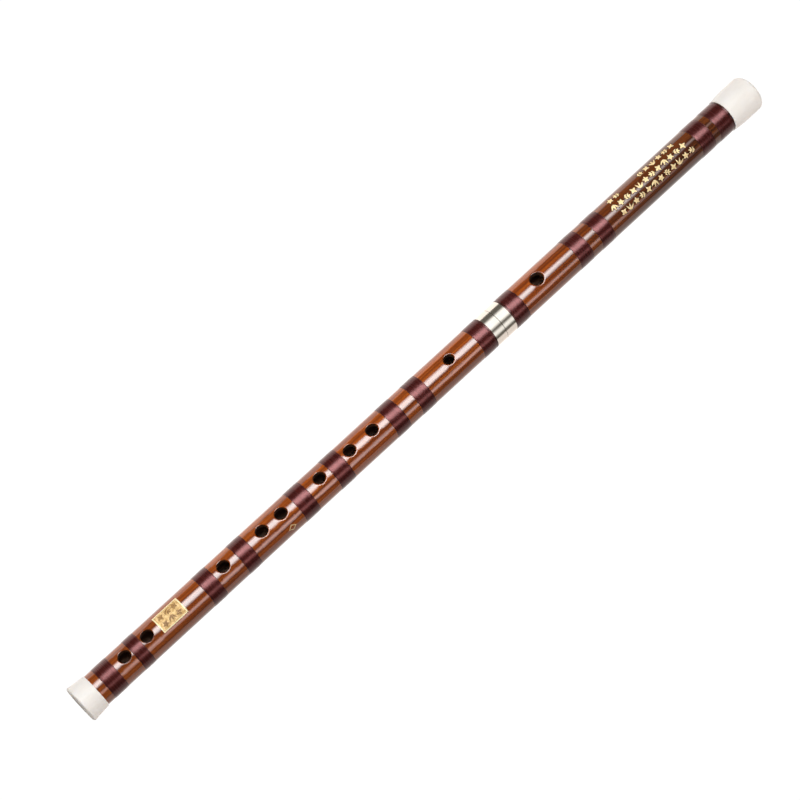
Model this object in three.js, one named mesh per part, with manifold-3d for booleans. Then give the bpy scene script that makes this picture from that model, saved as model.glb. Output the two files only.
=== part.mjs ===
// A two-section bamboo transverse flute (dizi) with a metal draw joint.
// The pieces are built along +X from the tail end, with their stations in millimetres from that end.
// The bore runs along X and the tone holes face +Z. The group then centres the flute on its length
// and lifts it to lie on z = 0.

import * as THREE from "three";
import { mergeVertices } from "three/addons/utils/BufferGeometryUtils.js";
import Module from "manifold-3d";

const wasm = await Module();
wasm.setup();

// ---- Driving dimensions, millimetres ----

const LENGTH = 626;
const SIDES = 24; // facets round a turned piece, one of them flat on the ground
const GAP = 0.3; // clearance between neighbouring pieces

// Bamboo sections: the outside tapers evenly, the bore is straight.
const TAIL_RADIUS = 11.8;
const HEAD_RADIUS = 12.37;
const BORE_RADIUS = 7.8;

// Thread bindings: start and end station of each, from tail to head.
const BODY_BINDINGS = [
  [19.3, 31.0],
  [45.3, 54.0],
  [105.2, 116.3],
  [135.6, 146.5],
  [186.2, 198.5],
  [218.1, 230.4],
  [269.6, 281.4],
  [292.9, 304.9],
  [351.0, 362.4],
];
const HEAD_BINDINGS = [
  [382.6, 394.0],
  [443.9, 456.2],
  [465.3, 477.4],
  [565.7, 578.3],
  [583.7, 597.0],
];
const BINDING_THICKNESS = 0.6;
const BINDING_PROUD = 0.15; // how far a binding stands above the bamboo

// Holes: stations of their centres, and their opening along and across the flute.
const BLOW_HOLE = { station: 412.2, length: 10.5, width: 9.6 };
const MEMBRANE_HOLE = { station: 328.6, length: 8.2, width: 7.1 };
const TONE_HOLE_LENGTH = 9.1;
const TONE_HOLE_WIDTH = 8.3;
const FINGER_HOLE_STATIONS = [124.7, 158.5, 175.4, 209.9, 237.1, 257.5];
const FRONT_END_HOLE_STATIONS = [40.1, 59.1];
const BACK_END_HOLE_STATIONS = [74, 88];

// Tail ring: a flared open collar over a turned-down stub of bamboo.
const TAIL_RING_END = 13.6;
const TAIL_RING_RADIUS = 13.5;
const TAIL_RING_ROOT_RADIUS = 12.6; // where it meets the bamboo
const TAIL_RING_BAND = 4.5; // end of its straight widest band
const TAIL_RING_ROUNDING = 1.2;
const TAIL_LIP = 3; // thickness of the end wall in front of the bamboo
const STUB_RADIUS = 10;

// Head cap: a flared closed plug with a spigot in the bore.
const HEAD_CAP_START = 598;
const HEAD_CAP_RADIUS = 13.85;
const HEAD_CAP_ROOT_RADIUS = 12.9; // where it meets the bamboo
const HEAD_CAP_FLARE = 14; // length over which it widens
const HEAD_CAP_ROUNDING = 3; // radius of its end rounding
const SPIGOT_LENGTH = 12;

// Draw joint: two metal ferrules that meet at a seam, a tenon in the body and a lined socket in the head.
const SEAM = 372.4;
const FERRULE_RADIUS = 12.14;
const FERRULE_WALL = 0.75;
const BODY_FERRULE_START = 363.4;
const HEAD_FERRULE_END = 381.5;
const TENON_START = 346;
const TENON_END = 397.5;
const TENON_RADIUS = 8.8;
const LINER_INNER_RADIUS = 9.15;
const LINER_RADIUS = 9.75;
const LINER_END = 398.2;
const SEAL_START = 384;
const SEAL_LENGTH = 4;
const SEAL_GROOVE_DEPTH = 0.5;
const SEAL_INNER_RADIUS = 8.55;
const SEAL_RADIUS = 8.95;

// Stopper in the head bore, just past the blow hole.
const STOPPER_START = 421;
const STOPPER_LENGTH = 14;
const STOPPER_CHAMFER = 1;

// Name plate: a thin curved plate let into the bamboo on the hole line.
const PLATE_START = 68.6;
const PLATE_END = 89;
const PLATE_HALF_ANGLE = THREE.MathUtils.degToRad(32);
const PLATE_THICKNESS = 0.4;
const PLATE_PROUD = 0.15;

// ---- Derived dimensions ----

const AXIS_HEIGHT = HEAD_CAP_RADIUS * Math.cos(Math.PI / SIDES);
const PLUG_RADIUS = BORE_RADIUS - GAP; // whatever sits in the bore
const FERRULE_SEAT_RADIUS = FERRULE_RADIUS - FERRULE_WALL - GAP;
const BAMBOO_SETBACK = 1.5 * GAP; // how far each bamboo end stays back from the seam
const BODY_BAMBOO = { start: TAIL_LIP + GAP, end: SEAM - BAMBOO_SETBACK };
const HEAD_BAMBOO = { start: SEAM + BAMBOO_SETBACK, end: HEAD_CAP_START };

const bambooRadius = (station) => THREE.MathUtils.lerp(TAIL_RADIUS, HEAD_RADIUS, station / LENGTH);

// ---- Materials ----

const material = (color, roughness, metalness = 0) =>
  new THREE.MeshStandardMaterial({ color, roughness, metalness });

const bamboo = material(0x94491a, 0.3);
const thread = material(0x4a1a20, 0.35);
const ivory = material(0xe9e5df, 0.4);
const nickelSilver = material(0xcfcabf, 0.2, 1);
const gilt = material(0xe6c98a, 0.3, 1);
const cork = material(0xb98d5c, 0.9);

// ---- Shape helpers ----

// A closed outline of [radius, station] corners, turned round the flute's axis.
function turned(corners) {
  const outline = corners.map(([radius, station]) => new THREE.Vector2(radius, station));
  const onAxis = corners[0][0] === 0;
  if (!onAxis) outline.push(outline[0].clone());
  const geometry = new THREE.LatheGeometry(outline, SIDES, Math.PI / SIDES);
  return geometry.rotateZ(-Math.PI / 2);
}

// A plain tube between two stations.
function sleeve(innerRadius, outerRadius, start, end) {
  return turned([
    [innerRadius, start],
    [outerRadius, start],
    [outerRadius, end],
    [innerRadius, end],
  ]);
}

// A curved plate round the top of the flute, centred on the hole line.
function curvedPlate(innerRadius, outerRadius, halfAngle, start, end) {
  const top = Math.PI / 2;
  const outline = new THREE.Shape();
  outline.absarc(0, 0, outerRadius, top - halfAngle, top + halfAngle, false);
  outline.absarc(0, 0, innerRadius, top + halfAngle, top - halfAngle, true);
  const options = { depth: end - start, bevelEnabled: false, curveSegments: 6 };
  const alongFlute = new THREE.Matrix4().makeBasis(
    new THREE.Vector3(0, 1, 0),
    new THREE.Vector3(0, 0, 1),
    new THREE.Vector3(1, 0, 0),
  );
  return new THREE.ExtrudeGeometry(outline, options).applyMatrix4(alongFlute).translate(start, 0, 0);
}

// A solid oval rod that cuts one hole from the bore out through the wall.
// side is 1 for the top and -1 for the back.
function holeCutter({ station, length, width }, side = 1) {
  const reach = TAIL_RING_RADIUS * 2;
  const outline = new THREE.Shape();
  outline.absellipse(0, 0, length / 2, width / 2, 0, Math.PI * 2);
  const options = { depth: reach, bevelEnabled: false, curveSegments: 10 };
  const geometry = new THREE.ExtrudeGeometry(outline, options);
  return geometry.translate(station, 0, side > 0 ? 0 : -reach);
}

function toSolid(geometry) {
  const bare = geometry.clone();
  bare.deleteAttribute("normal");
  bare.deleteAttribute("uv");
  const merged = mergeVertices(bare);
  const mesh = new wasm.Mesh({
    numProp: 3,
    vertProperties: Float32Array.from(merged.attributes.position.array),
    triVerts: Uint32Array.from(merged.index.array),
  });
  return new wasm.Manifold(mesh);
}

function toGeometry(solid) {
  const mesh = solid.getMesh();
  const geometry = new THREE.BufferGeometry();
  geometry.setAttribute("position", new THREE.BufferAttribute(mesh.vertProperties, 3));
  geometry.setIndex(new THREE.BufferAttribute(mesh.triVerts, 1));
  geometry.computeVertexNormals();
  return geometry;
}

function cut(geometry, cutters) {
  const solid = cutters.reduce((rest, cutter) => rest.subtract(toSolid(cutter)), toSolid(geometry));
  return toGeometry(solid);
}

// ---- Bamboo ----

// The outside corners of a bamboo section from one station to another, with a groove under each binding.
function grooved(start, end, bindings) {
  const corners = [[bambooRadius(start), start]];
  for (const [from, to] of bindings) {
    const floor = bindingInnerRadius(from, to) - GAP;
    corners.push([bambooRadius(from), from - GAP]);
    corners.push([floor, from - GAP]);
    corners.push([floor, to + GAP]);
    corners.push([bambooRadius(to), to + GAP]);
  }
  corners.push([bambooRadius(end), end]);
  return corners;
}

function bindingInnerRadius(from, to) {
  return bambooRadius((from + to) / 2) + BINDING_PROUD - BINDING_THICKNESS;
}

function bodyTube() {
  const { start, end } = BODY_BAMBOO;
  const shoulder = TAIL_RING_END + GAP;
  const ferruleSeat = BODY_FERRULE_START - GAP;
  const blank = turned([
    [BORE_RADIUS, start],
    [STUB_RADIUS, start],
    [STUB_RADIUS, shoulder],
    ...grooved(shoulder, ferruleSeat, BODY_BINDINGS),
    [FERRULE_SEAT_RADIUS, ferruleSeat],
    [FERRULE_SEAT_RADIUS, end],
    [TENON_RADIUS + GAP, end],
    [TENON_RADIUS + GAP, TENON_START - GAP],
    [BORE_RADIUS, TENON_START - GAP],
  ]);
  const toneHole = (station) => ({ station, length: TONE_HOLE_LENGTH, width: TONE_HOLE_WIDTH });
  const topHoles = [...FRONT_END_HOLE_STATIONS, ...FINGER_HOLE_STATIONS].map(toneHole);
  const backHoles = BACK_END_HOLE_STATIONS.map(toneHole);
  return cut(blank, [
    ...topHoles.map((hole) => holeCutter(hole)),
    ...backHoles.map((hole) => holeCutter(hole, -1)),
    holeCutter(MEMBRANE_HOLE),
    plateSeat(),
  ]);
}

function headTube() {
  const { start, end } = HEAD_BAMBOO;
  const ferruleSeat = HEAD_FERRULE_END + GAP;
  const socketFloor = LINER_END + GAP;
  const blank = turned([
    [LINER_RADIUS + GAP, start],
    [FERRULE_SEAT_RADIUS, start],
    [FERRULE_SEAT_RADIUS, ferruleSeat],
    ...grooved(ferruleSeat, end, HEAD_BINDINGS),
    [BORE_RADIUS, end],
    [BORE_RADIUS, socketFloor],
    [LINER_RADIUS + GAP, socketFloor],
  ]);
  return cut(blank, [holeCutter(BLOW_HOLE)]);
}

function binding([from, to]) {
  const innerRadius = bindingInnerRadius(from, to);
  return sleeve(innerRadius, innerRadius + BINDING_THICKNESS, from, to);
}

// ---- End pieces ----

function tailRing() {
  return turned([
    [BORE_RADIUS, 0],
    [TAIL_RING_RADIUS - TAIL_RING_ROUNDING, 0],
    [TAIL_RING_RADIUS, TAIL_RING_ROUNDING],
    [TAIL_RING_RADIUS, TAIL_RING_BAND],
    [TAIL_RING_ROOT_RADIUS, TAIL_RING_END],
    [STUB_RADIUS + GAP, TAIL_RING_END],
    [STUB_RADIUS + GAP, TAIL_LIP],
    [BORE_RADIUS, TAIL_LIP],
  ]);
}

function headCap() {
  const shoulder = HEAD_CAP_START + GAP;
  const widening = HEAD_CAP_RADIUS - HEAD_CAP_ROOT_RADIUS;
  const steps = 3;
  const flare = [];
  const rounding = [];
  for (let step = 0; step <= steps; step += 1) {
    const share = step / steps;
    const angle = (share * Math.PI) / 2;
    flare.push([HEAD_CAP_ROOT_RADIUS + widening * Math.sin(angle), shoulder + HEAD_CAP_FLARE * share]);
    rounding.push([
      HEAD_CAP_RADIUS - HEAD_CAP_ROUNDING * (1 - Math.cos(angle)),
      LENGTH - HEAD_CAP_ROUNDING * (1 - Math.sin(angle)),
    ]);
  }
  return turned([
    [0, HEAD_CAP_START - SPIGOT_LENGTH],
    [PLUG_RADIUS, HEAD_CAP_START - SPIGOT_LENGTH],
    [PLUG_RADIUS, shoulder],
    ...flare,
    ...rounding,
    [0, LENGTH],
  ]);
}

// ---- Draw joint ----

function ferrule(start, end) {
  return sleeve(FERRULE_RADIUS - FERRULE_WALL, FERRULE_RADIUS, start, end);
}

function tenonTube() {
  const grooveRadius = TENON_RADIUS - SEAL_GROOVE_DEPTH;
  const grooveStart = SEAL_START - GAP;
  const grooveEnd = SEAL_START + SEAL_LENGTH + GAP;
  return turned([
    [BORE_RADIUS, TENON_START],
    [TENON_RADIUS, TENON_START],
    [TENON_RADIUS, grooveStart],
    [grooveRadius, grooveStart],
    [grooveRadius, grooveEnd],
    [TENON_RADIUS, grooveEnd],
    [TENON_RADIUS, TENON_END],
    [BORE_RADIUS, TENON_END],
  ]);
}

function socketLiner() {
  return sleeve(LINER_INNER_RADIUS, LINER_RADIUS, HEAD_BAMBOO.start, LINER_END);
}

function tenonSeal() {
  return sleeve(SEAL_INNER_RADIUS, SEAL_RADIUS, SEAL_START, SEAL_START + SEAL_LENGTH);
}

// ---- Stopper and name plate ----

function stopper() {
  const end = STOPPER_START + STOPPER_LENGTH;
  return turned([
    [0, STOPPER_START],
    [PLUG_RADIUS - STOPPER_CHAMFER, STOPPER_START],
    [PLUG_RADIUS, STOPPER_START + STOPPER_CHAMFER],
    [PLUG_RADIUS, end - STOPPER_CHAMFER],
    [PLUG_RADIUS - STOPPER_CHAMFER, end],
    [0, end],
  ]);
}

function plateOuterRadius() {
  return bambooRadius((PLATE_START + PLATE_END) / 2) + PLATE_PROUD;
}

function namePlate() {
  const outerRadius = plateOuterRadius();
  return curvedPlate(outerRadius - PLATE_THICKNESS, outerRadius, PLATE_HALF_ANGLE, PLATE_START, PLATE_END);
}

// The shallow recess in the bamboo that the name plate lies in.
function plateSeat() {
  const floor = plateOuterRadius() - PLATE_THICKNESS - GAP;
  const halfAngle = PLATE_HALF_ANGLE + GAP / floor;
  return curvedPlate(floor, TAIL_RING_RADIUS, halfAngle, PLATE_START - GAP, PLATE_END + GAP);
}

// ---- Assembly ----

const flute = new THREE.Group();
flute.position.set(-LENGTH / 2, 0, AXIS_HEIGHT);

function addPiece(name, geometry, pieceMaterial) {
  const mesh = new THREE.Mesh(geometry, pieceMaterial);
  mesh.name = name;
  flute.add(mesh);
}

addPiece("body_tube", bodyTube(), bamboo);
addPiece("head_tube", headTube(), bamboo);
addPiece("tail_ring", tailRing(), ivory);
addPiece("head_cap", headCap(), ivory);
addPiece("body_ferrule", ferrule(BODY_FERRULE_START, SEAM - GAP / 2), nickelSilver);
addPiece("head_ferrule", ferrule(SEAM + GAP / 2, HEAD_FERRULE_END), nickelSilver);
addPiece("tenon_tube", tenonTube(), nickelSilver);
addPiece("socket_liner", socketLiner(), nickelSilver);
addPiece("tenon_seal", tenonSeal(), cork);
addPiece("stopper", stopper(), cork);
addPiece("name_plate", namePlate(), gilt);

[...BODY_BINDINGS, ...HEAD_BINDINGS].forEach((span, index) => {
  const number = String(index + 1).padStart(2, "0");
  addPiece(`binding_${number}`, binding(span), thread);
});

export default flute;
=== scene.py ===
# The looks of a two-section bamboo flute (dizi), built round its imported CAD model.
# Pieces are built in the flute's own millimetres: a station is a distance along the flute from its tail
# end, and an angle is measured round the bore from the line of the holes towards the player (-Y).
# make_piece() turns those into metres in the CAD frame.

import math
from functools import cache

import bmesh
import bpy
from mathutils import Matrix, Vector

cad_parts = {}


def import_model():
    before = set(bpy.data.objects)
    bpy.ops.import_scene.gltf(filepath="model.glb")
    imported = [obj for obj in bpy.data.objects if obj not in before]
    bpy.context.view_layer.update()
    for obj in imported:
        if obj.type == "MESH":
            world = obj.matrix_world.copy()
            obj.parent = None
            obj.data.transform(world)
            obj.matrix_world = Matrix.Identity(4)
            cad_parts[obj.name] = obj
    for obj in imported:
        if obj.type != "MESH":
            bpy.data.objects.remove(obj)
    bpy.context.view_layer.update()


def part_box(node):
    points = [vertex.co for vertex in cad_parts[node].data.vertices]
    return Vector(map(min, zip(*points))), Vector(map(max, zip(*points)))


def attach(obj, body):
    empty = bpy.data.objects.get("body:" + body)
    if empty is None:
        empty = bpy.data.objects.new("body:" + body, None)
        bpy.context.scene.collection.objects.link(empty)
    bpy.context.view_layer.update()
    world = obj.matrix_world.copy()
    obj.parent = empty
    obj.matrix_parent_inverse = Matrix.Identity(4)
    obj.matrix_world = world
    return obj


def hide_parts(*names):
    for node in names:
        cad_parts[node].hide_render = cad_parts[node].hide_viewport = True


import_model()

scene = bpy.context.scene

# ---- Sizes taken from the frame ----

MM = 0.001
CAD_SIDES = 24  # facets round each turned CAD piece
TAIL_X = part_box("tail_ring")[0].x
AXIS_Z = sum(corner.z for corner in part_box("head_cap")) / 2
LENGTH = (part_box("head_cap")[1].x - TAIL_X) / MM


def span(node):
    """The stations where a CAD node starts and ends."""
    low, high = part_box(node)
    return (low.x - TAIL_X) / MM, (high.x - TAIL_X) / MM


def outer_radius(node):
    """The radius that a turned CAD node's facets stand for."""
    low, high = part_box(node)
    return (high.y - low.y) / 2 / MM / math.cos(math.pi / CAD_SIDES)


BODY_BINDINGS = [f"binding_{number:02d}" for number in range(1, 10)]
HEAD_BINDINGS = [f"binding_{number:02d}" for number in range(10, 15)]

# ---- Driving dimensions, millimetres ----

BAMBOO_TAIL_RADIUS = 11.8
BAMBOO_HEAD_RADIUS = 12.37
BORE_RADIUS = 7.8
STUB_RADIUS = 10.25
FERRULE_INNER_RADIUS = 11.39
SEAT_CLEARANCE = 0.03  # between a piece and the seat it lies in

BLOW_HOLE = (412.2, 10.5, 9.6)  # station, length along the flute, width across it
MEMBRANE_HOLE = (328.6, 8.2, 7.1)
TONE_HOLE_SIZE = (9.1, 8.3)
TONE_HOLE_STATIONS = [40.1, 59.1, 124.7, 158.5, 175.4, 209.9, 237.1, 257.5]
BACK_HOLE_STATIONS = [74, 88]
HOLE_RIM = 0.95  # width of the polished edge round each hole, where there is room for it
HOLE_RIM_DEPTH = 0.45  # how far that edge rounds down into the hole

SIDES = 96  # facets round the turned pieces here
SHARP_ANGLE = math.radians(38)  # edges steeper than this stay crisp
NOTHING = 1e-6  # a radius or length below this counts as none

# ---- Meshes ----


def place(station, y, z):
    """A point in the flute's millimetres as metres in the CAD frame."""
    return Vector((TAIL_X + station * MM, y * MM, AXIS_Z + z * MM))


def around(station, radius, angle):
    """The point at a station, a radius and an angle from the hole line towards -Y."""
    return place(station, -radius * math.sin(angle), radius * math.cos(angle))


def bamboo_radius(station):
    """The bamboo's outer radius, which grows evenly towards the head."""
    share = station / LENGTH
    return BAMBOO_TAIL_RADIUS + (BAMBOO_HEAD_RADIUS - BAMBOO_TAIL_RADIUS) * share


def make_piece(name, vertices, faces, material, body, slot, nodes=(), marked=(), second_material=None):
    """A smooth piece riding on a body. marked lists the faces that take the second material."""
    mesh = bpy.data.meshes.new(name)
    mesh.from_pydata(vertices, [], faces)
    mesh.materials.append(material)
    if second_material:
        mesh.materials.append(second_material)
        for index in marked:
            mesh.polygons[index].material_index = 1
    outward = bmesh.new()
    outward.from_mesh(mesh)
    bmesh.ops.recalc_face_normals(outward, faces=outward.faces)
    outward.to_mesh(mesh)
    outward.free()
    mesh.shade_smooth()
    mesh.set_sharp_from_angle(angle=SHARP_ANGLE)
    piece = bpy.data.objects.new(name, mesh)
    scene.collection.objects.link(piece)
    piece.modifiers.new("even_normals", "WEIGHTED_NORMAL").keep_sharp = True
    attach(piece, body)
    if nodes:
        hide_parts(*nodes)


def arc(centre_station, centre_radius, radius, start, end, steps=5):
    """Outline points on a rounding, from one angle to another; 0 points to the head, 90 points outwards."""
    points = []
    for step in range(steps + 1):
        angle = math.radians(start + (end - start) * step / steps)
        station = centre_station + radius * math.cos(angle)
        points.append((station, centre_radius + radius * math.sin(angle)))
    return points


def turns(sides):
    """The angles of evenly spaced facets."""
    return [2 * math.pi * side / sides for side in range(sides)]


def next_ring(vertices, sides=SIDES):
    """The indices of the ring of vertices that comes next."""
    return range(len(vertices), len(vertices) + sides)


def ring_faces(rings, faces):
    """Adds quads between each closed ring of vertices and the next, or triangles beside a point."""
    for here, there in zip(rings, rings[1:]):
        for index in range(len(here)):
            after = (index + 1) % len(here)
            corners = [here[index], here[after], there[after], there[index]]
            faces.append(list(dict.fromkeys(corners)))


def revolve(outline):
    """Turns an outline of (station, radius) points. It closes on itself, or runs from axis to axis."""
    vertices, rings, faces = [], [], []
    for station, radius in outline:
        if radius < NOTHING:
            rings.append([len(vertices)] * SIDES)
            vertices.append(place(station, 0, 0))
        else:
            rings.append(next_ring(vertices))
            vertices += [around(station, radius, angle) for angle in turns(SIDES)]
    if outline[0][1] > NOTHING:
        rings.append(rings[0])
    ring_faces(rings, faces)
    return vertices, faces


# ---- Bamboo tubes with rimmed holes ----

PATCH_SIDES = 12  # facets on each side of a hole that make room for it
PATCH_COLUMNS = 14
PATCH_MARGIN = 2.2
PATCH_CLEARANCE = 0.05
PATCH_RINGS = (0.35, 0.7)  # where the rings lie between a patch's edge and the hole's rim
BORE_PATCH_RING = 0.6  # the same for the one ring inside the bore
RIM_CLEARANCE = 0.02
COLUMN_STEP = 7
STATION_TOLERANCE = 1e-3
BINDING_DEPTH = 0.4


class Hole:
    """An oval hole across the wall, and the stations between which the wall's grid makes room for it."""

    def __init__(self, station, length, width, low, high, back=False):
        self.station = station
        self.half_length = length / 2
        self.half_width = width / 2
        self.low = low
        self.high = high
        self.back = back
        self.rim = min(HOLE_RIM, min(station - low, high - station) - length / 2 - RIM_CLEARANCE)

    def first_side(self):
        """The facet where the hole's patch starts."""
        centre = SIDES // 2 if self.back else 0
        return centre - PATCH_SIDES

    def covers(self, side):
        """Whether a facet lies in the hole's patch."""
        return (side - self.first_side()) % SIDES < 2 * PATCH_SIDES


def columns(corners, holes):
    """Stations and radii along a skin: its corners, the holes' patches, and steps in between."""
    result = [corners[0]]
    for (start, first), (end, last) in zip(corners, corners[1:]):
        if abs(end - start) < NOTHING:
            result.append((end, last))
            continue
        marks = [start, end]
        for hole in holes:
            if start <= hole.low and hole.high <= end:
                step = (hole.high - hole.low) / PATCH_COLUMNS
                marks += [hole.low + step * index for index in range(PATCH_COLUMNS + 1)]
        marks = sorted(set(round(mark, 4) for mark in marks))
        for here, there in zip(marks, marks[1:]):
            pieces = max(1, math.ceil((there - here) / COLUMN_STEP))
            for piece in range(1, pieces + 1):
                station = here + (there - here) * piece / pieces
                share = (station - start) / (end - start)
                result.append((station, first + (last - first) * share))
    return result


def sag(station, angle):
    """The slight natural unevenness of the bamboo's skin, in millimetres."""
    along = math.sin(station * 0.047 + 1.3) + 0.6 * math.sin(station * 0.113 + 2 * angle)
    oval = 0.018 * along * math.cos(2 * angle + station * 0.011)
    return oval + 0.01 * math.sin(3 * angle + station * 0.03)


def tube(outside, inside, holes):
    """A tube with oval holes, as vertices, faces and the indices of the dark faces inside it.
    outside and inside are corners of (station, radius), from tail to head."""
    vertices, faces = [], []
    outer = columns(outside, holes)
    inner = columns(inside, holes)
    grids = []
    for skin, unevenness in ((outer, sag), (inner, None)):
        grid = []
        for station, radius in skin:
            grid.append(next_ring(vertices))
            for angle in turns(SIDES):
                extra = unevenness(station, angle) if unevenness else 0
                vertices.append(around(station, radius + extra, angle))
        grids.append(grid)
    skin_faces(outer, grids[0], holes, faces)
    for end in (0, -1):
        ring_faces([grids[0][end], grids[1][end]], faces)
    first_dark = len(faces)
    skin_faces(inner, grids[1], holes, faces)
    walls = [hole_rings(hole, outer, inner, grids, vertices) for hole in holes]
    for _, wall in walls:
        ring_faces(wall, faces)
    dark = range(first_dark, len(faces))
    for surface, _ in walls:
        ring_faces(surface, faces)
    return vertices, faces, dark


def skin_faces(skin, grid, holes, faces):
    """Adds quads over a skin's grid, apart from the patches that its holes need."""
    for (here, there), (start, end) in zip(zip(grid, grid[1:]), zip(skin, skin[1:])):
        middle = (start[0] + end[0]) / 2
        open_holes = [hole for hole in holes if hole.low < middle < hole.high]
        for side in range(SIDES):
            if any(hole.covers(side) for hole in open_holes):
                continue
            after = (side + 1) % SIDES
            faces.append([here[side], here[after], there[after], there[side]])


def perimeter(hole, skin, grid):
    """The grid vertices round a hole's patch, in order."""
    start, end = hole.low - STATION_TOLERANCE, hole.high + STATION_TOLERANCE
    inside = [index for index, (station, _) in enumerate(skin) if start <= station <= end]
    low, high = inside[0], inside[-1]
    first, last = hole.first_side(), hole.first_side() + 2 * PATCH_SIDES
    loop = [(index, first) for index in range(low, high)]
    loop += [(high, side) for side in range(first, last)]
    loop += [(index, last) for index in range(high, low, -1)]
    loop += [(low, side) for side in range(last, first, -1)]
    return [grid[index][side % SIDES] for index, side in loop], skin[low][1]


def hole_rings(hole, outer, inner, grids, vertices):
    """Rings of vertices round a hole: first its patch and rounded rim, then its wall and inside."""
    outward = -1 if hole.back else 1
    outer_loop, outer_level = perimeter(hole, outer, grids[0])
    inner_loop, inner_level = perimeter(hole, inner, grids[1])
    centre = place(hole.station, 0, 0)
    directions = []
    for index in outer_loop:
        offset = (vertices[index] - centre) / MM
        reach = hole.high - hole.station if offset.x > 0 else hole.station - hole.low
        across = outer_level * math.sin(2 * math.pi * PATCH_SIDES / SIDES)
        directions.append(math.atan2(offset.y / across, offset.x / reach))

    def ring(grow, level, depth):
        """A ring round the hole, larger by grow and sunk by depth in a skin of radius level."""
        made = next_ring(vertices, len(directions))
        for direction in directions:
            x = (hole.half_length + grow) * math.cos(direction)
            y = (hole.half_width + grow) * math.sin(direction)
            vertices.append(place(hole.station + x, y, outward * (math.sqrt(level**2 - y**2) - depth)))
        return made

    def between(loop, rim, share, level):
        """A ring part of the way from a patch's edge to a rim."""
        made = next_ring(vertices, len(loop))
        for start, end in zip(loop, rim):
            point = vertices[start].lerp(vertices[end], share)
            y = point.y / MM
            x = (point.x - TAIL_X) / MM
            start_level = math.hypot(vertices[start].y, vertices[start].z - AXIS_Z) / MM
            radius = start_level + (level - start_level) * share
            vertices.append(place(x, y, outward * math.sqrt(radius**2 - y**2)))
        return made

    level = bamboo_radius(hole.station)
    edge = ring(hole.rim, level, 0)
    surface = [outer_loop]
    surface += [between(outer_loop, edge, share, level) for share in PATCH_RINGS]
    surface.append(edge)
    for angle in range(15, 91, 15):
        turn = math.radians(angle)
        surface.append(ring(hole.rim * (1 - math.sin(turn)), level, HOLE_RIM_DEPTH * (1 - math.cos(turn))))
    rim = ring(0, inner_level, 0)
    wall = [surface[-1], rim, between(inner_loop, rim, BORE_PATCH_RING, inner_level), inner_loop]
    return surface, wall


def holes_between(seats, stations, length, width, back=False):
    """Holes whose patches stay clear of the grooves round them."""
    made = []
    for station in stations:
        low = station - length / 2 - PATCH_MARGIN
        high = station + length / 2 + PATCH_MARGIN
        for start, end in seats:
            if end < station:
                low = max(low, end + PATCH_CLEARANCE)
            else:
                high = min(high, start - PATCH_CLEARANCE)
        made.append(Hole(station, length, width, low, high, back))
    return made


def seats_of(bindings):
    """The grooves that the bindings lie in, as (start, end)."""
    spans = [span(node) for node in bindings]
    return [(start - SEAT_CLEARANCE, end + SEAT_CLEARANCE) for start, end in spans]


def grooved(start, end, seats):
    """Outside corners of a bamboo stretch with a groove for each binding."""
    corners = [(start, bamboo_radius(start))]
    for low, high in seats:
        floor = bamboo_radius((low + high) / 2) - BINDING_DEPTH
        corners += [(low, bamboo_radius(low)), (low, floor), (high, floor), (high, bamboo_radius(high))]
    corners.append((end, bamboo_radius(end)))
    return corners


def bamboo_piece(name, outside, inside, holes, body, node):
    """A bamboo section: lacquered outside and dark inside."""
    vertices, faces, dark = tube(outside, inside, holes)
    wood, bore = bamboo_material(), bore_material()
    make_piece(name, vertices, faces, wood, body, "bamboo", [node], dark, bore)


# ---- Materials ----
# Each material is made once, the first time it is asked for.


def add_node(tree, kind, inputs, **settings):
    """Adds a shader node. inputs gives its sockets a value each, or the socket that feeds them."""
    node = tree.nodes.new("ShaderNode" + kind)
    for key, value in settings.items():
        setattr(node, key, value)
    for key, value in inputs.items():
        if isinstance(value, bpy.types.NodeSocket):
            tree.links.new(value, node.inputs[key])
        else:
            node.inputs[key].default_value = value
    return node


def mixed(tree, share, first, second):
    """Mixes two colours, each a value or a socket, by a share that is a socket."""
    node = add_node(tree, "Mix", {"Factor": share}, data_type="RGBA")
    sockets = [socket for socket in node.inputs if socket.type == "RGBA"]
    for socket, colour in zip(sockets, (first, second)):
        if isinstance(colour, tuple):
            socket.default_value = (*colour, 1)
        else:
            tree.links.new(colour, socket)
    return next(socket for socket in node.outputs if socket.type == "RGBA")


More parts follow.
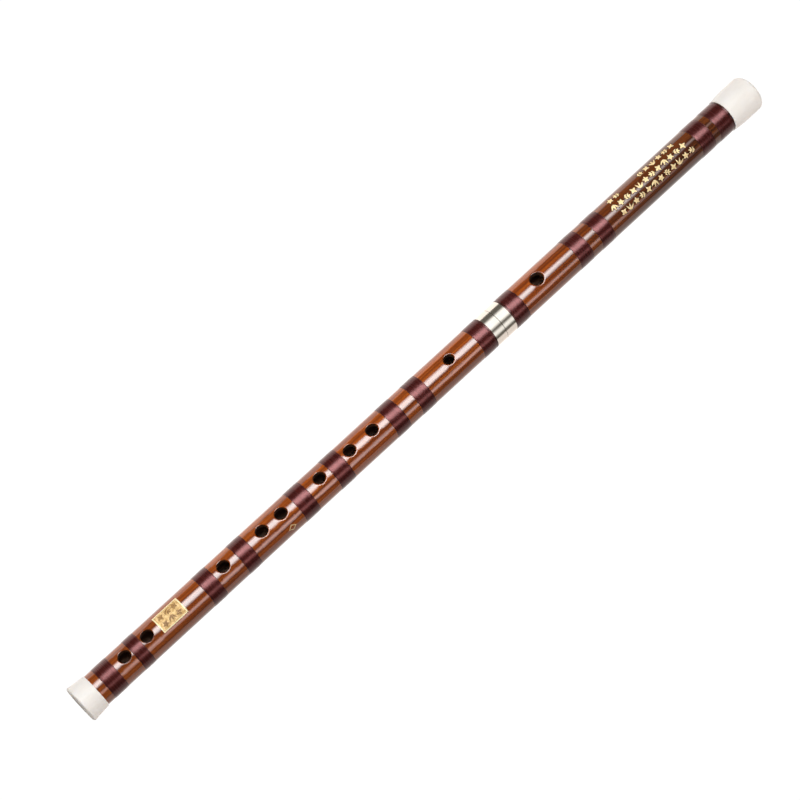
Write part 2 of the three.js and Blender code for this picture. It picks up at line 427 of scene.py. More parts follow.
class Shader:
    """A Principled material with a few shorthands for procedural detail."""

    def __init__(self, name, **values):
        self.material = bpy.data.materials.new(name)
        self.material.use_nodes = True
        self.tree = self.material.node_tree
        self.surface = self.tree.nodes["Principled BSDF"]
        for key, value in values.items():
            self.surface.inputs[key.replace("_", " ")].default_value = value
        self.place = add_node(self.tree, "TexCoord", {}).outputs["Object"]

    def feed(self, key, socket):
        self.tree.links.new(socket, self.surface.inputs[key])

    def noise(self, along, around, detail=3, roughness=0.55):
        """Noise with its own scale, in cells a metre, along the flute and across it."""
        stretch = add_node(self.tree, "Mapping", {"Vector": self.place, "Scale": (along, around, around)})
        cells = {"Vector": stretch.outputs["Vector"], "Scale": 1, "Detail": detail, "Roughness": roughness}
        return add_node(self.tree, "TexNoise", cells).outputs["Fac"]

    def remap(self, value, low, high, to_low=0.0, to_high=1.0):
        """A smooth step of a value, from to_low at low to to_high at high."""
        ends = {"Value": value, "From Min": low, "From Max": high, "To Min": to_low, "To Max": to_high}
        return add_node(self.tree, "MapRange", ends, interpolation_type="SMOOTHSTEP").outputs["Result"]

    def mix(self, share, first, second):
        return mixed(self.tree, share, first, second)

    def colour(self, socket):
        self.feed("Base Color", socket)

    def rough(self, noise, low, high):
        """Roughness between two values over the middle of a noise."""
        self.feed("Roughness", self.remap(noise, 0.3, 0.7, low, high))

    def bump(self, height, depth):
        """Relief that follows a socket. The depth is in millimetres."""
        bump = add_node(self.tree, "Bump", {"Height": height, "Strength": 1, "Distance": depth * MM})
        self.feed("Normal", bump.outputs["Normal"])

    def follow(self, noise, spread, first, second, roughness, relief):
        """Lets one noise set the colour, over a spread of its values, the roughness and the relief."""
        self.colour(self.mix(self.remap(noise, *spread), first, second))
        self.rough(noise, *roughness)
        self.bump(noise, relief)
        return self.material


@cache
def bamboo_material():
    """Clear-lacquered bamboo: long fibres and darker bundles, a little darker at the tail and much deeper
    in tone towards the head."""
    shader = Shader("lacquered_bamboo", Coat_Weight=1.0, Coat_Roughness=0.05, Coat_IOR=1.65, IOR=1.5,
                    Specular_IOR_Level=0.0)
    fibre = shader.noise(9, 420, detail=2)
    bundle = shader.noise(12, 1000, detail=2)
    cloud = shader.noise(9, 95, detail=2)
    light, dark = (0.49, 0.108, 0.009), (0.24, 0.044, 0.003)
    colour = shader.mix(shader.remap(fibre, 0.34, 0.66), dark, light)
    colour = shader.mix(shader.remap(cloud, 0.35, 0.7, 0.0, 0.45), colour, (0.30, 0.050, 0.004))
    colour = shader.mix(shader.remap(bundle, 0.52, 0.68, 0.0, 0.38), colour, (0.07, 0.014, 0.003))
    x = add_node(shader.tree, "SeparateXYZ", {"Vector": shader.place}).outputs["X"]
    colour = shader.mix(shader.remap(x, -0.08, -0.26, 0.0, 0.22), colour, (0.10, 0.022, 0.003))
    deep = shader.mix(shader.remap(fibre, 0.36, 0.64), (0.045, 0.010, 0.002), (0.130, 0.032, 0.006))
    shader.colour(shader.mix(shader.remap(x, 0.08, 0.22, 0.0, 0.85), colour, deep))
    shader.rough(fibre, 0.28, 0.42)
    shader.bump(fibre, 0.01)
    return shader.material


@cache
def bore_material():
    """The dark inside of the bamboo: brown lacquer, made darker as painted shade for the bore and the
    holes' walls.
    """
    shader = Shader("bore_lacquer_and_shade", IOR=1.45)
    streak = shader.noise(20, 500, detail=3)
    return shader.follow(streak, (0.3, 0.7), (0.11, 0.045, 0.020), (0.20, 0.090, 0.042), (0.5, 0.7), 0.05)


@cache
def thread_material():
    """Maroon silk thread under lacquer."""
    shader = Shader("lacquered_thread", IOR=1.5, Specular_Tint=(1.0, 0.36, 0.36, 1), Coat_Weight=0.15,
                    Coat_Roughness=0.12)
    turn = shader.noise(2400, 45, detail=2)
    streak = shader.noise(750, 14, detail=2)
    colour = shader.mix(shader.remap(turn, 0.3, 0.7), (0.032, 0.004, 0.003), (0.078, 0.010, 0.008))
    shader.colour(shader.mix(shader.remap(streak, 0.45, 0.75, 0.0, 0.6), colour, (0.030, 0.004, 0.004)))
    shader.rough(streak, 0.18, 0.30)
    shader.bump(turn, 0.008)
    return shader.material


@cache
def sealer_and_shade_material():
    """Dark lacquer that seals the ends of the thread; in the gaps beside the bindings it also stands for
    painted shade.
    """
    shader = Shader("dark_sealer_and_shade", IOR=1.45, Specular_Tint=(1.0, 0.5, 0.5, 1), Coat_Weight=0.2,
                    Coat_Roughness=0.15)
    patch = shader.noise(900, 60, detail=2)
    dark, light = (0.030, 0.005, 0.003), (0.065, 0.012, 0.008)
    return shader.follow(patch, (0.35, 0.7), dark, light, (0.22, 0.36), 0.01)


@cache
def ivory_material():
    """Ivory-white resin, turned and softly polished; light scatters a little way into it."""
    shader = Shader("ivory_resin", IOR=1.46, Specular_IOR_Level=0.3, Subsurface_Weight=0.25,
                    Subsurface_Scale=0.002, Subsurface_Radius=(1.0, 0.85, 0.7))
    cloud = shader.noise(60, 160, detail=3)
    lathe = shader.noise(2600, 12, detail=2)
    shader.colour(shader.mix(shader.remap(cloud, 0.3, 0.7), (0.80, 0.775, 0.745), (0.84, 0.82, 0.795)))
    shader.rough(cloud, 0.42, 0.52)
    shader.bump(lathe, 0.003)
    return shader.material


@cache
def nickel_material():
    """Polished nickel silver with fine turning marks."""
    shader = Shader("nickel_silver", Metallic=1.0)
    lathe = shader.noise(5200, 10, detail=3)
    tarnish = shader.noise(150, 190, detail=3)
    shader.colour(shader.mix(shader.remap(tarnish, 0.4, 0.8), (0.78, 0.745, 0.68), (0.72, 0.68, 0.61)))
    shader.rough(lathe, 0.14, 0.18)
    shader.bump(lathe, 0.0002)
    return shader.material


@cache
def gilt_material():
    """Pale gilding, satin and slightly uneven."""
    shader = Shader("gilding", Metallic=0.15, IOR=1.45, Specular_IOR_Level=0.15)
    grain = shader.noise(1300, 1300, detail=3)
    return shader.follow(grain, (0.35, 0.7), (0.92, 0.69, 0.35), (1.0, 0.83, 0.50), (0.5, 0.62), 0.02)


@cache
def plate_material():
    """Pale gilt brass with a hammered field."""
    shader = Shader("gilt_plate", Metallic=0.1, IOR=1.45, Specular_IOR_Level=0.15)
    grain = shader.noise(620, 620, detail=3)
    fine = shader.noise(2300, 2300, detail=2)
    shader.colour(shader.mix(shader.remap(grain, 0.35, 0.65), (0.58, 0.36, 0.13), (0.92, 0.66, 0.33)))
    shader.rough(fine, 0.5, 0.65)
    shader.bump(grain, 0.10)
    return shader.material


@cache
def frame_material():
    """The plate's rubbed, brighter frame."""
    shader = Shader("rubbed_frame", Metallic=0.1, IOR=1.45, Specular_IOR_Level=0.15)
    grain = shader.noise(1500, 1500, detail=2)
    return shader.follow(grain, (0.35, 0.65), (0.98, 0.82, 0.46), (1.0, 0.90, 0.60), (0.45, 0.55), 0.01)


@cache
def cut_edge_shade_material():
    """Painted shade: a dark outline round each gilt mark, standing for the shadow of its cut edge."""
    shader = Shader("painted_cut_edge_shade", IOR=1.45, Specular_IOR_Level=0.2)
    grain = shader.noise(90, 1500, detail=3)
    dark, light = (0.028, 0.008, 0.003), (0.075, 0.022, 0.006)
    return shader.follow(grain, (0.35, 0.7), dark, light, (0.5, 0.65), 0.02)


@cache
def antique_material():
    """The brown patina that picks out the plate's relief."""
    shader = Shader("antique_relief", IOR=1.45, Specular_IOR_Level=0.2)
    grain = shader.noise(1600, 1600, detail=3)
    return shader.follow(grain, (0.35, 0.7), (0.26, 0.12, 0.035), (0.60, 0.37, 0.15), (0.4, 0.6), 0.02)


@cache
def cork_material():
    """Natural cork with dark pits."""
    shader = Shader("cork", IOR=1.4)
    grain = shader.noise(700, 700, detail=5, roughness=0.7)
    pits = shader.noise(420, 420, detail=2)
    colour = shader.mix(shader.remap(grain, 0.3, 0.7), (0.34, 0.19, 0.09), (0.55, 0.36, 0.19))
    shader.colour(shader.mix(shader.remap(pits, 0.62, 0.7), colour, (0.12, 0.06, 0.03)))
    shader.rough(grain, 0.75, 0.9)
    shader.bump(grain, 0.12)
    return shader.material


# ---- Bamboo sections ----


def body_bamboo():
    """The lower section, with a stub for the tail ring and a seat for its collar."""
    tenon_start = span("tenon_tube")[0]
    low, high = span("body_tube")
    shoulder = span("tail_ring")[1] + SEAT_CLEARANCE
    ferrule_seat = span("body_ferrule")[0] - SEAT_CLEARANCE
    seat_radius = FERRULE_INNER_RADIUS - SEAT_CLEARANCE
    seats = seats_of(BODY_BINDINGS)
    outside = [
        (low, STUB_RADIUS),
        (shoulder, STUB_RADIUS),
        *grooved(shoulder, ferrule_seat, seats),
        (ferrule_seat, seat_radius),
        (high, seat_radius),
    ]
    tenon_seat = outer_radius("tenon_tube") + SEAT_CLEARANCE
    inside = [(low, BORE_RADIUS), (tenon_start, BORE_RADIUS), (tenon_start, tenon_seat), (high, tenon_seat)]
    holes = holes_between(seats, TONE_HOLE_STATIONS, *TONE_HOLE_SIZE)
    holes += holes_between(seats, MEMBRANE_HOLE[:1], *MEMBRANE_HOLE[1:])
    holes += holes_between(seats, BACK_HOLE_STATIONS, *TONE_HOLE_SIZE, back=True)
    bamboo_piece("body_bamboo", outside, inside, holes, "body", "body_tube")


def head_bamboo():
    """The upper section, with a seat for its collar and a socket for the liner."""
    low, high = span("head_tube")
    ferrule_seat = span("head_ferrule")[1] + SEAT_CLEARANCE
    seat_radius = FERRULE_INNER_RADIUS - SEAT_CLEARANCE
    seats = seats_of(HEAD_BINDINGS)
    outside = [(low, seat_radius), (ferrule_seat, seat_radius), *grooved(ferrule_seat, high, seats)]
    liner_seat = outer_radius("socket_liner") + SEAT_CLEARANCE
    socket_end = span("socket_liner")[1] + SEAT_CLEARANCE
    inside = [(low, liner_seat), (socket_end, liner_seat), (socket_end, BORE_RADIUS), (high, BORE_RADIUS)]
    holes = holes_between(seats, BLOW_HOLE[:1], *BLOW_HOLE[1:])
    bamboo_piece("head_bamboo", outside, inside, holes, "head", "head_tube")


# ---- Thread bindings ----

THREAD_PITCH = 0.6
THREAD_RELIEF = 0.03
THREAD_SAMPLES = 5  # outline points for each turn of thread
BINDING_SIDES = 72
BINDING_CROWN = 0.1  # how far a binding falls off towards its ends
CROWN_LENGTH = 2.2
BEAD = 0.4  # length of the lacquer bead that seals each end
BEAD_RISE = 0.1
BEAD_DROP = 0.16  # from the binding's full radius to the bead's foot
BEAD_STEPS = 6
BEAD_START = 0.12  # share of the bead's rounding that is hidden by the last turn of thread
# The dark ring in each narrow gap beside a binding: sealer, and painted shade for that gap.
SEALER_SHADE_DEPTH = 0.2
SEALER_SHADE_EDGE = 0.04
SEALER_SHADE_CROWN = 0.1


def thread_height(inset, station, share):
    """How far the thread lies below the binding's full radius: a crown, and one ridge for each turn."""
    fall = max(0, 1 - inset / CROWN_LENGTH)
    ridge = 0.5 + 0.5 * math.cos(2 * math.pi * (station / THREAD_PITCH + share))
    return BINDING_CROWN * fall**2 + THREAD_RELIEF * ridge**2


def bead_rows(station, outwards, radius):
    """Stations and radii over a sealing bead, from the thread's last turn down to the bamboo."""
    rows = []
    for step in range(BEAD_STEPS + 1):
        turn = math.pi * (BEAD_START + (1 - BEAD_START) * step / BEAD_STEPS)
        along = outwards * BEAD * (1 - math.cos(turn)) / 2
        rows.append((station + along, radius - BEAD_DROP + BEAD_RISE * math.sin(turn)))
    return rows


def binding(node, body):
    """A thread binding in its groove, with a sealing bead at each end."""
    start, end = span(node)
    radius = outer_radius(node)
    floor = bamboo_radius((start + end) / 2) - BINDING_DEPTH + SEAT_CLEARANCE
    first, last = start + BEAD, end - BEAD
    count = round((last - first) / THREAD_PITCH * THREAD_SAMPLES)
    angles = turns(BINDING_SIDES)

    def circles(points):
        return [[around(*point, angle) for angle in angles] for point in points]

    low_bead = circles(reversed(bead_rows(first, -1, radius)))
    high_bead = circles(bead_rows(last, 1, radius))
    inside = circles([(end, floor), (start, floor)])
    thread = []
    for index in range(count + 1):
        station = first + (last - first) * index / count
        inset = min(station - first, last - station)
        row = []
        for side, angle in enumerate(angles):
            drop = thread_height(inset, station, side / BINDING_SIDES)
            row.append(around(station, radius - drop, angle))
        thread.append(row)
    rows = low_bead + thread + high_bead + inside
    vertices = [point for row in rows for point in row]
    rings = [range(index, index + BINDING_SIDES) for index in range(0, len(vertices), BINDING_SIDES)]
    faces = []
    ring_faces(rings + rings[:1], faces)
    bead_faces = BINDING_SIDES * len(low_bead)
    thread_faces = BINDING_SIDES * count
    sealed = [*range(bead_faces), *range(bead_faces + thread_faces, len(faces))]
    silk, sealer = thread_material(), sealer_and_shade_material()
    make_piece("thread_" + node, vertices, faces, silk, body, "thread", [node], sealed, sealer)


def gap_sealer_and_shade_ring(name, start, end, body):
    """Dark sealer in the narrow gap between a binding and the piece next to it; its darkness is partly
    painted shade for the gap.
    """
    middle = (start + end) / 2
    radius = bamboo_radius(middle)
    outline = [
        (start, radius - SEALER_SHADE_DEPTH),
        (start, radius + SEALER_SHADE_EDGE),
        (middle, radius + SEALER_SHADE_CROWN),
        (end, radius + SEALER_SHADE_EDGE),
        (end, radius - SEALER_SHADE_DEPTH),
    ]
    make_piece(name, *revolve(outline), sealer_and_shade_material(), body, "thread")


# ---- White end pieces ----

EDGE = 0.35  # rounding where an end piece meets the bamboo
TAIL_ROOT_RADIUS = 12.3
TAIL_LIP = 1.5  # rounding of the tail ring's open end, outside
TAIL_BORE_EDGE = 0.9  # the same inside
TAIL_WALL_END = 3.25  # how deep the tail ring's end wall is, where the bamboo's stub stops
TAIL_FLARE_STEPS = 10
CAP_ROOT_RADIUS = 12.9
CAP_BELL = 14.0  # length over which the cap widens
CAP_ROUNDING = 3.0
CAP_FLARE_STEPS = 12
SPIGOT_CHAMFER = 1


def tail_end():
    """The open tail ring: a rounded lip, and sides that narrow towards the bamboo."""
    start, end = span("tail_ring")
    radius, root, lip = outer_radius("tail_ring"), TAIL_ROOT_RADIUS, TAIL_LIP
    flare = []
    for step in range(TAIL_FLARE_STEPS):
        share = step / TAIL_FLARE_STEPS
        station = start + lip + (end - EDGE - start - lip) * share
        flare.append((station, root + (radius - root) * (1 - share) ** 1.15))
    outline = [
        (start + TAIL_WALL_END, BORE_RADIUS),
        *arc(start + TAIL_BORE_EDGE, BORE_RADIUS + TAIL_BORE_EDGE, TAIL_BORE_EDGE, 270, 180),
        *arc(start + lip, radius - lip, lip, 180, 90, 7)[:-1],
        *flare,
        *arc(end - EDGE, root - EDGE, EDGE, 90, 0),
        (end, STUB_RADIUS + SEAT_CLEARANCE),
        (start + TAIL_WALL_END, STUB_RADIUS + SEAT_CLEARANCE),
    ]
    make_piece("tail_end_ring", *revolve(outline), ivory_material(), "body", "ivory_resin", ["tail_ring"])


def head_end():
    """The closed head cap: a bell that widens quickly from the bamboo and rounds over at its end."""
    start, end = span("head_cap")
    shoulder = span("head_tube")[1] + SEAT_CLEARANCE
    radius, root, rounding = outer_radius("head_cap"), CAP_ROOT_RADIUS, CAP_ROUNDING
    spigot = BORE_RADIUS - SEAT_CLEARANCE
    flare = []
    for step in range(1, CAP_FLARE_STEPS + 1):
        share = step / CAP_FLARE_STEPS
        swell = math.sin(share * math.pi / 2)
        flare.append((shoulder + EDGE + (CAP_BELL - EDGE) * share, root + (radius - root) * swell))
    outline = [
        (start, 0),
        (start, spigot - SPIGOT_CHAMFER),
        (start + SPIGOT_CHAMFER, spigot),
        (shoulder, spigot),
        *arc(shoulder + EDGE, root - EDGE, EDGE, 180, 90),
        *flare,
        *arc(end - rounding, radius - rounding, rounding, 90, 0, 9),
        (end, (radius - rounding) / 2),
        (end, 0),
    ]
    make_piece("head_end_cap", *revolve(outline), ivory_material(), "head", "ivory_resin", ["head_cap"])


# ---- Draw joint ----

SEAM_GAP = 0.2
LINER_INNER_RADIUS = 9.15
METAL_EDGE = 0.12  # rounding of the metal's edges
SEAL_INNER_RADIUS = 8.55
SEAL_EDGE = 0.15
SEAL_GROOVE_DEPTH = 0.5
SEAL_GROOVE_SLACK = 0.1
TENON_LEAD = 0.4  # chamfer that leads the tenon into its socket
STOPPER_EDGE = 1.0


def sleeve(inner, outer, low, high, edge):
    """The outline of a tube with rounded outer edges."""
    return [
        (low, inner),
        *arc(low + edge, outer - edge, edge, 180, 90, 3),
        *arc(high - edge, outer - edge, edge, 90, 0, 3),
        (high, inner),
    ]


def metal_sleeve(name, node, inner, low, high, body):
    """A metal tube with slightly broken edges."""
    outline = sleeve(inner, outer_radius(node), low, high, METAL_EDGE)
    make_piece(name, *revolve(outline), nickel_material(), body, "nickel_silver", [node])


def draw_joint():
    """The two collars, which meet at the seam, and the lining of the socket."""
    low, seam_low = span("body_ferrule")
    seam_high, high = span("head_ferrule")
    seam = (seam_low + seam_high) / 2
    metal_sleeve("body_collar", "body_ferrule", FERRULE_INNER_RADIUS, low, seam - SEAM_GAP / 2, "body")
    metal_sleeve("head_collar", "head_ferrule", FERRULE_INNER_RADIUS, seam + SEAM_GAP / 2, high, "head")
    metal_sleeve("socket_lining", "socket_liner", LINER_INNER_RADIUS, *span("socket_liner"), "head")


def tenon():
    """The tenon tube, with a groove for its seal."""
    start, end = span("tenon_tube")
    groove_start, groove_end = span("tenon_seal")
    groove_start -= SEAL_GROOVE_SLACK
    groove_end += SEAL_GROOVE_SLACK
    radius = outer_radius("tenon_tube")
    outline = [
        (start + SEAT_CLEARANCE, BORE_RADIUS),
        (start + SEAT_CLEARANCE, radius),
        (groove_start, radius),
        (groove_start, radius - SEAL_GROOVE_DEPTH),
        (groove_end, radius - SEAL_GROOVE_DEPTH),
        (groove_end, radius),
        *arc(end - TENON_LEAD, radius - TENON_LEAD, TENON_LEAD, 90, 0, 4),
        (end, BORE_RADIUS + TENON_LEAD),
        (end - TENON_LEAD, BORE_RADIUS),
    ]
    make_piece("tenon", *revolve(outline), nickel_material(), "body", "nickel_silver", ["tenon_tube"])


def cork_pieces():
    """The seal ring on the tenon and the stopper past the blow hole."""
    ring = sleeve(SEAL_INNER_RADIUS, outer_radius("tenon_seal"), *span("tenon_seal"), SEAL_EDGE)
    make_piece("seal_ring", *revolve(ring), cork_material(), "seal", "cork", ["tenon_seal"])
    low, high = span("stopper")
    radius = outer_radius("stopper")
    plug = [
        (low, 0),
        (low, radius / 2),
        *arc(low + STOPPER_EDGE, radius - STOPPER_EDGE, STOPPER_EDGE, 180, 90),
        *arc(high - STOPPER_EDGE, radius - STOPPER_EDGE, STOPPER_EDGE, 90, 0),
        (high, radius / 2),
        (high, 0),
    ]
    make_piece("cork_stopper", *revolve(plug), cork_material(), "plug", "cork", ["stopper"])


# ---- Gilt plate and ornament ----

PLATE_HALF_ANGLE = math.radians(32)
PLATE_PROUD = 0.12  # how far the plate's field stands out of the bamboo
PLATE_DEPTH = 0.35  # from the field to the plate's back
PLATE_FRAME = 0.9  # width of the raised frame
FRAME_RISE = 0.1
PLATE_COLUMNS = 24
PLATE_ROWS = 18
RELIEF_SIZE = 4.6
RELIEF_PITCH = 5.6
RELIEF_LIFT = 0.19
MARK_LIFT = 0.05  # how far the gilt marks stand out of the bamboo
MARK_SUNK = 0.15
SHADE_OUTLINE_LIFT = 0.015  # the same for the dark outline of painted shade round them
SHADE_OUTLINE_MARGIN = 0.35
ORNAMENT_SIZE = 4.8
ORNAMENT_PITCH = 6.15
ORNAMENT_ROWS = [(-29, 519.5, 6), (-29, 490, 2), (2, 488, 12), (33, 491, 12)]  # degrees, station, count
LEAF_TIP = 0.12  # half of the width that a leaf keeps at its ends


def leaf(start, way, length, width, bend=0.0, steps=5):
    """A pointed leaf as rows of three points (along, across): one edge, the rib and the other edge."""
    rows = []
    along, across = start
    for step in range(steps + 1):
        share = step / steps
        turn = math.radians(way + bend * share)
        half = max(LEAF_TIP, width / 2 * math.sin(math.pi * share**0.8))
        aside = (-math.sin(turn) * half, math.cos(turn) * half)
        rows.append([(along + side * aside[0], across + side * aside[1]) for side in (-1, 0, 1)])
        along += length / steps * math.cos(turn)
        across += length / steps * math.sin(turn)
    return rows


def grown(rows, margin):
    """The same leaf with a margin all round."""
    middles = [Vector(row[1]) for row in rows]
    lead = (middles[0] - middles[1]).normalized() * margin
    tail = (middles[-1] - middles[-2]).normalized() * margin
    shifts = [lead, *[Vector((0, 0))] * (len(rows) - 2), tail]
    result = []
    for row, shift in zip(rows, shifts):
        aside = (Vector(row[2]) - Vector(row[0])).normalized() * margin
        result.append([tuple(Vector(point) + side * aside + shift) for side, point in zip((-1, 0, 1), row)])
    return result


def heading(turn):
    """The unit vector (along, across) at an angle in degrees."""
    return Vector((math.cos(math.radians(turn)), math.sin(math.radians(turn))))


def blossom(size, turn):
    """Five broad petals round a middle."""
    return [leaf((0, 0), turn + 72 * petal, size * 0.52, size * 0.32) for petal in range(5)]


def spray(size, turn):
    """Three leaves spreading from one point."""
    foot = tuple(-size / 2 * heading(turn))
    return [leaf(foot, turn + aside, size, size * 0.27, -aside * 0.4) for aside in (-44, 0, 44)]


def sprig(size, turn):
    """A stem with two pairs of leaves and one at its tip."""
    way = heading(turn)
    parts = [leaf(tuple(-size * 0.55 * way), turn, size * 0.8, size * 0.1)]
    for share in (-0.35, 0.05):
        foot = tuple(size * share * way)
        for aside in (-62, 62):
            parts.append(leaf(foot, turn + aside, size * 0.52, size * 0.24, -aside * 0.4))
    parts.append(leaf(tuple(size * 0.12 * way), turn, size * 0.45, size * 0.26))
    return parts


def cross(size, turn):
    """Four leaves in a cross."""
    return [leaf((0, 0), turn + 90 * arm, size * 0.55, size * 0.34) for arm in range(4)]


MOTIFS = [sprig, blossom, spray, cross]


def slab_faces(first, lines, width, faces):
    """Adds the faces of a slab: a grid of vertices, the same grid under it, and the rim between them."""
    under = lines * width
    for line in range(lines - 1):
        for column in range(width - 1):
            corner = first + line * width + column
            quad = [corner, corner + 1, corner + width + 1, corner + width]
            faces.append(quad)
            faces.append([under + vertex for vertex in reversed(quad)])
    rim = [line * width for line in range(lines)]
    rim += [under - width + column for column in range(1, width)]
    rim += [line * width + width - 1 for line in range(lines - 2, -1, -1)]
    rim += range(width - 2, 0, -1)
    for here, there in zip(rim, rim[1:] + rim[:1]):
        faces.append([first + here, first + there, first + under + there, first + under + here])


def inlay(name, marks, material, body, lift=MARK_LIFT, sunk=MARK_SUNK):
    """Thin closed slabs following the bamboo's round. A mark is (parts, station, angle)."""
    vertices, faces = [], []
    for parts, station, angle in marks:
        for rows in parts:
            slab_faces(len(vertices), len(rows), len(rows[0]), faces)
            for level in (lift, -sunk):
                for row in rows:
                    for along, across in row:
                        radius = bamboo_radius(station + along)
                        turn = angle + across / radius
                        vertices.append(around(station + along, radius + level, turn))
    make_piece(name, vertices, faces, material, body, "gilt_brass")


def ornament_rows():
    """Rows of small gilt plant motifs along the head section, each on a dark outline of painted shade for
    its cut edge.
    """
    marks, shade_outlines = [], []
    for row, (degrees, start, count) in enumerate(ORNAMENT_ROWS):
        for index in range(count):
            motif = MOTIFS[(index * 3 + row) % len(MOTIFS)]
            parts = motif(ORNAMENT_SIZE, (137 * index + 50 * row) % 360)
            station, angle = start + ORNAMENT_PITCH * index, math.radians(degrees)
            marks.append((parts, station, angle))
            shade_outlines.append(([grown(part, SHADE_OUTLINE_MARGIN) for part in parts], station, angle))
    # The dark outlines under the marks are painted shade for their cut edges.
    inlay("ornament_painted_shade", shade_outlines, cut_edge_shade_material(), "head", lift=SHADE_OUTLINE_LIFT)
    inlay("ornament_rows", marks, gilt_material(), "head")


def pitch_mark():
    """A plain lozenge outline low on the player's side."""
    station, degrees = 175.5, 62
    half_length, half_width = 3.2, 2.5
    stroke = 0.26  # share of the lozenge that the line takes on each side
    corners = [(half_length, 0), (0, half_width), (-half_length, 0), (0, -half_width)]
    sides = []
    for corner, following in zip(corners, corners[1:] + corners[:1]):
        rows = []
        for share in (0, 1 / 3, 2 / 3, 1):
            middle = Vector(corner).lerp(Vector(following), share)
            rows.append([tuple(middle * (1 - stroke * part)) for part in (1, 0.5, 0)])
        sides.append(rows)
    inlay("pitch_mark", [(sides, station, math.radians(degrees))], gilt_material(), "body")


def name_plate():
    """A thin gilt plate bent round the bamboo, with a raised frame and a hammered field."""
    start, end = span("name_plate")
    top = bamboo_radius((start + end) / 2) + PLATE_PROUD
    vertices, faces = [], []
    for level in ("face", "back"):
        for column in range(PLATE_COLUMNS + 1):
            station = start + (end - start) * column / PLATE_COLUMNS
            for row in range(PLATE_ROWS + 1):
                angle = PLATE_HALF_ANGLE * (2 * row / PLATE_ROWS - 1)
                inset = min(station - start, end - station, (PLATE_HALF_ANGLE - abs(angle)) * top)
                rise = FRAME_RISE if inset < PLATE_FRAME else 0
                radius = top + rise if level == "face" else top - PLATE_DEPTH
                vertices.append(around(station, radius, angle))
    slab_faces(0, PLATE_COLUMNS + 1, PLATE_ROWS + 1, faces)
    bright = []
    for column in range(PLATE_COLUMNS):
        for row in range(PLATE_ROWS):
            if column in (0, PLATE_COLUMNS - 1) or row in (0, PLATE_ROWS - 1):
                bright.append(2 * (column * PLATE_ROWS + row))
    field, border = plate_material(), frame_material()
    make_piece("gilt_plate", vertices, faces, field, "body", "gilt_brass", ["name_plate"], bright, border)


def plate_relief():
    """Two rows of three motifs on the plate, picked out in brown."""
    middle = sum(span("name_plate")) / 2
    marks = []
    for index in range(3):
        for side in (-1, 1):
            motif = MOTIFS[(index + side) % len(MOTIFS)]
            parts = motif(RELIEF_SIZE, 70 * index + 25 * side)
            marks.append((parts, middle + RELIEF_PITCH * (index - 1), side * PLATE_HALF_ANGLE * 0.42))
    inlay("plate_relief", marks, antique_material(), "body", lift=RELIEF_LIFT, sunk=0)


# ---- Studio ----

BACKDROP = 1.05  # brightness of the floor and the background, just past white
OVERHEAD_TURN = -27  # degrees that the softboxes are turned about their own axis
FRONT_TURN = -24
SOFTBOX_START = -0.60  # metres along X from the flute's middle
SOFTBOX_END = 1.25


def soften(lamp, edges):
    """Fades a softbox out towards its edges, over a share of its length and a share of its width."""
    lamp.use_nodes = True
    tree = lamp.node_tree

    def compute(operation, first, second):
        return add_node(tree, "Math", {0: first, 1: second}, operation=operation).outputs["Value"]

    spot = add_node(tree, "NewGeometry", {}).outputs["Parametric"]
    split = add_node(tree, "SeparateXYZ", {"Vector": spot})
    fades = []
    for axis, edge in zip(("X", "Y"), edges):
        share = split.outputs[axis]
        nearest = compute("MINIMUM", share, compute("SUBTRACT", 1, share))
        ends = {"Value": nearest, "From Max": edge}
        fades.append(add_node(tree, "MapRange", ends, interpolation_type="SMOOTHSTEP").outputs["Result"])
    tree.links.new(compute("MULTIPLY", *fades), tree.nodes["Emission"].inputs["Strength"])


def area_light(name, angles, distance, ends, radiance, turn=0, edges=None):
    """A rectangular softbox between two ends along X, seen from the flute between two angles, which
    are measured up from -Y over +Z. The distance is in metres."""
    low, high = (math.radians(angle) for angle in angles)
    start, end = ends
    middle = (low + high) / 2
    lamp = bpy.data.lights.new(name, "AREA")
    lamp.shape = "RECTANGLE"
    lamp.size = end - start
    lamp.size_y = 2 * distance * math.tan((high - low) / 2)
    lamp.energy = radiance * math.pi * lamp.size * lamp.size_y
    if edges:
        soften(lamp, edges)
    softbox = bpy.data.objects.new(name, lamp)
    scene.collection.objects.link(softbox)
    facing = Vector((0, -math.cos(middle), math.sin(middle)))
    spot = facing * distance + Vector(((start + end) / 2, 0, AXIS_Z))
    across = Vector((1, 0, 0))
    aim = Matrix((across, facing.cross(across), facing)).transposed().to_4x4()
    softbox.matrix_world = Matrix.Translation(spot) @ aim @ Matrix.Rotation(math.radians(turn), 4, "Z")
    return softbox


def light_only(lamp, pieces):
    """Restricts a lamp to some of the pieces."""
    lit = bpy.data.collections.new("lit_by_" + lamp.name)
    for piece in pieces:
        lit.objects.link(piece)
    lamp.light_linking.receiver_collection = lit


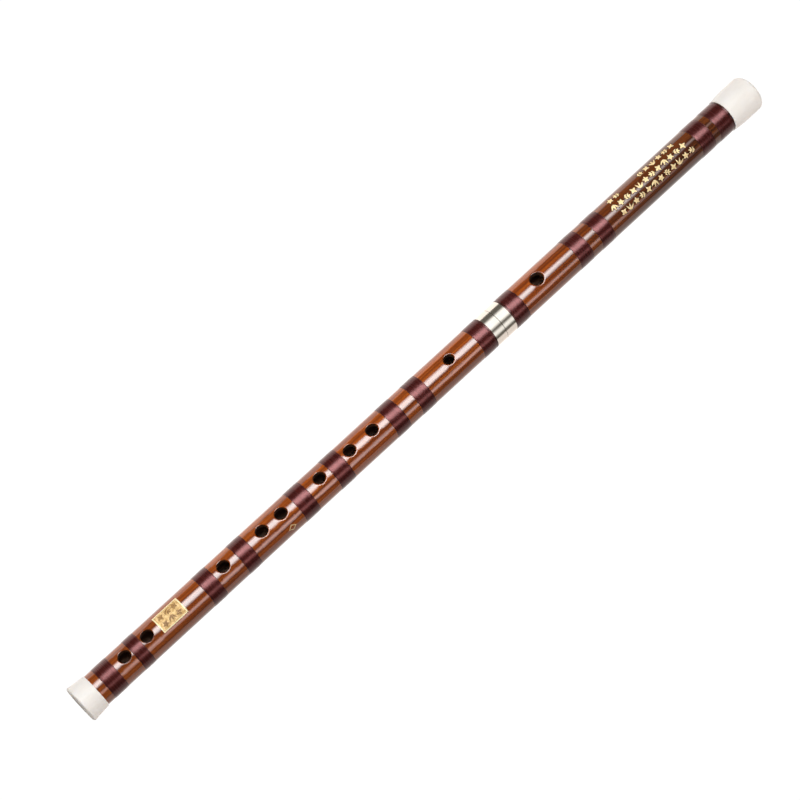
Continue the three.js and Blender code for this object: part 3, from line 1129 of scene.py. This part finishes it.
def lights(pieces):
    """Softboxes for the reflections, set for each kind of surface, and fill that lights the colours."""

    def made_of(*materials):
        return [piece for piece in pieces if set(materials) & set(piece.data.materials)]

    metal = made_of(nickel_material())
    thread = made_of(thread_material(), sealer_and_shade_material())
    others = [piece for piece in pieces if piece not in metal and piece not in thread]
    whole = (SOFTBOX_START, SOFTBOX_END)
    overhead = area_light("overhead_softbox", (66, 115), 1.2, (SOFTBOX_START, 0.87), 12, OVERHEAD_TURN,
                          (0.27, 0.40))
    thread_overhead = area_light("thread_overhead", (66, 115), 1.2, whole, 12, OVERHEAD_TURN, (0.18, 0.40))
    front = area_light("front_softbox", (14, 44), 1.3, (SOFTBOX_START, 1.03), 4.6, FRONT_TURN, (0.34, 0.5))
    metal_overhead = area_light("metal_overhead", (57, 129), 1.2, whole, 1.35, OVERHEAD_TURN, (0.18, 0.33))
    metal_front = area_light("metal_front", (5, 48), 1.3, whole, 1.1, FRONT_TURN, (0.30, 0.42))
    overhead.data.color = (0.93, 0.98, 1.0)
    thread_overhead.data.color = (0.93, 0.98, 1.0)
    front.data.color = (1.0, 0.80, 0.79)
    light_only(overhead, others)
    light_only(thread_overhead, thread)
    light_only(front, others + thread)
    light_only(metal_overhead, metal)
    light_only(metal_front, metal)
    for softbox in (overhead, thread_overhead, front, metal_overhead, metal_front):
        softbox.visible_diffuse = False
    fill = area_light("fill", (80, 125), 1.4, (-0.65, 0.6), 4.1)
    end_fill = area_light("end_fill", (-15, 60), 1.3, (-0.45, 0.95), 1.5)
    end_fill.data.color = (1.0, 0.96, 0.93)
    light_only(end_fill, made_of(ivory_material()))
    for panel in (fill, end_fill):
        panel.visible_glossy = False


def world():
    """White card below and darkness above, so that the lacquer reflects a shooting table.
    The card is brighter behind the flute and dark beyond its tail end."""
    front_card, back_card, tail_card = (0.96, 0.87, 0.83), (1.48, 1.36, 1.29), (0.26, 0.24, 0.20)
    ceiling = (0.15, 0.135, 0.115)
    tilt = math.radians(16)  # between the horizon and the edge of the card
    surroundings = bpy.data.worlds.new("shooting_table")
    surroundings.use_nodes = True
    scene.world = surroundings
    tree = surroundings.node_tree
    direction = add_node(tree, "TexCoord", {}).outputs["Generated"]

    def toward(axis, low, high):
        """How far a direction leans along an axis, as 0 at low and 1 at high."""
        lean = add_node(tree, "VectorMath", {0: direction, 1: axis}, operation="DOT_PRODUCT")
        ends = {"Value": lean.outputs["Value"], "From Min": low, "From Max": high}
        return add_node(tree, "MapRange", ends).outputs["Result"]

    card = mixed(tree, toward((0, 1, 0), -0.5, 0.5), front_card, back_card)
    card = mixed(tree, toward((-1, 0, 0), 0.45, 0.75), card, tail_card)
    above = toward((0, -math.sin(tilt), math.cos(tilt)), -0.02, 0.02)
    reflected = mixed(tree, above, card, ceiling)
    seen = add_node(tree, "LightPath", {}).outputs["Is Camera Ray"]
    backdrop = mixed(tree, seen, reflected, (BACKDROP,) * 3)
    tree.links.new(backdrop, tree.nodes["Background"].inputs["Color"])


def floor():
    """The white table top, which shines by itself and throws no light on the flute."""
    white = Shader("table_top", Base_Color=(0, 0, 0, 1), Specular_IOR_Level=0, Emission_Color=(1, 1, 1, 1),
                   Emission_Strength=BACKDROP)
    mesh = bpy.data.meshes.new("table_top")
    reach = 4
    corners = [(-reach, -reach, 0), (reach, -reach, 0), (reach, reach, 0), (-reach, reach, 0)]
    mesh.from_pydata(corners, [], [(0, 1, 2, 3)])
    mesh.materials.append(white.material)
    table = bpy.data.objects.new("table_top", mesh)
    table.visible_glossy = False
    table.visible_diffuse = False
    scene.collection.objects.link(table)


def camera():
    """Looks down on the flute from the player's side, turned so that it lies across the picture."""
    elevation, turn, roll = math.radians(65.82), math.radians(36.70), math.radians(-8.256)
    distance = 1.405
    lens = bpy.data.cameras.new("camera")
    lens.sensor_width = 36
    lens.lens = 95.1
    view = bpy.data.objects.new("camera", lens)
    scene.collection.objects.link(view)
    target = place(288, 5.5, 1.98)
    rotation = (
        Matrix.Rotation(-turn, 4, "Z")
        @ Matrix.Rotation(math.pi / 2 - elevation, 4, "X")
        @ Matrix.Rotation(roll, 4, "Z")
    )
    view.matrix_world = Matrix.Translation(target) @ rotation @ Matrix.Translation((0, 0, distance))
    scene.camera = view


def main():
    body_bamboo()
    head_bamboo()
    tail_end()
    head_end()
    draw_joint()
    tenon()
    cork_pieces()
    for node in BODY_BINDINGS:
        binding(node, "body")
    for node in HEAD_BINDINGS:
        binding(node, "head")
    # These dark gap rings are partly painted shade.
    gap_sealer_and_shade_ring("ferrule_sealer_and_shade_ring", span(BODY_BINDINGS[-1])[1], span("body_ferrule")[0], "body")
    gap_sealer_and_shade_ring("socket_sealer_and_shade_ring", span("head_ferrule")[1], span(HEAD_BINDINGS[0])[0], "head")
    gap_sealer_and_shade_ring("cap_sealer_and_shade_ring", span(HEAD_BINDINGS[-1])[1], span("head_tube")[1], "head")
    name_plate()
    plate_relief()
    pitch_mark()
    ornament_rows()
    lights([piece for piece in scene.objects if piece.type == "MESH" and piece.data.materials])
    world()
    floor()
    camera()
    scene.view_settings.view_transform = "Standard"


main()
